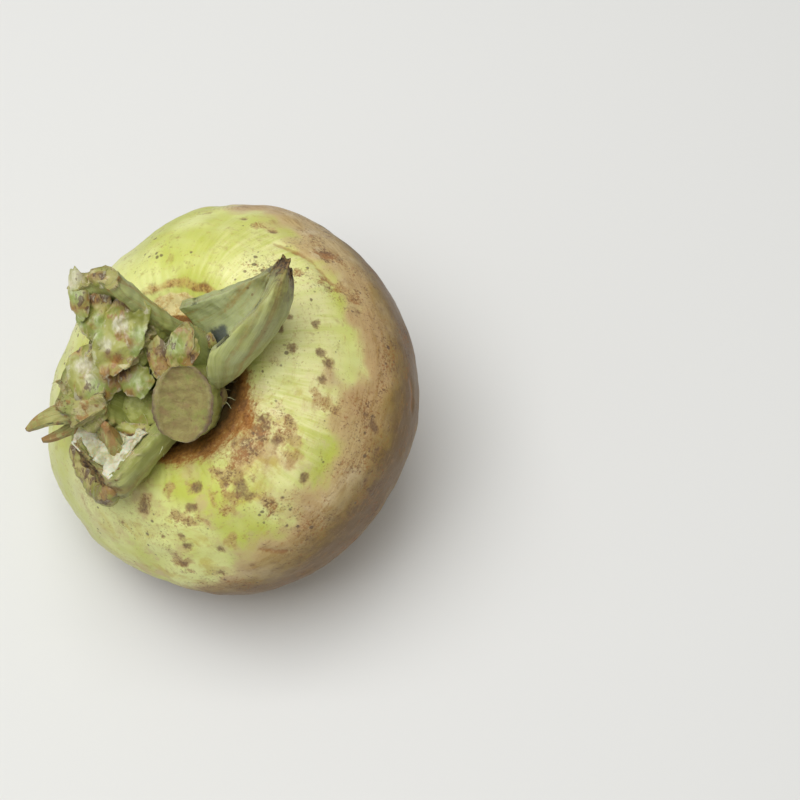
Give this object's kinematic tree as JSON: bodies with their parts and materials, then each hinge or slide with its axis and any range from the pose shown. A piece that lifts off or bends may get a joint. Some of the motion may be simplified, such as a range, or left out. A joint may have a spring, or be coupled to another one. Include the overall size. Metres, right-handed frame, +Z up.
{
  "type": "turnip",
  "caption": "Round, slightly flattened turnip root with a trimmed tap root and a crown of cut and torn leaf stalks, lying a little on its side.",
  "frame": {"origin": "middle of the small flat spot on the flank of the root, on the surface it rests on", "axes": "+Z up; seen from the front (looking along +Y) the crown with its stalks leans to the left, towards -X and a little towards -Y"},
  "size_m": [0.0929, 0.0975, 0.1012],
  "materials": {
    "root_skin": "thin waxy skin, yellow-green to tan, with brown corky scars and dark specks",
    "stalk_flesh": "pale green fleshy stalk, its cut and torn ends dried brown and corky",
    "dry_bract": "dried olive-brown leaf scraps"
  },
  "bodies": {
    "root": {"swollen_root": "root_skin", "stalk_tall": "stalk_flesh", "stalk_pointed": "stalk_flesh", "stalk_hooded": "stalk_flesh", "stalk_round": "stalk_flesh", "stalk_short": "stalk_flesh", "stalk_torn": "stalk_flesh", "stalk_heart": "stalk_flesh", "scale_leaf": "dry_bract", "sliver_long": "dry_bract", "sliver_short": "dry_bract"}
  },
  "joints": []
}
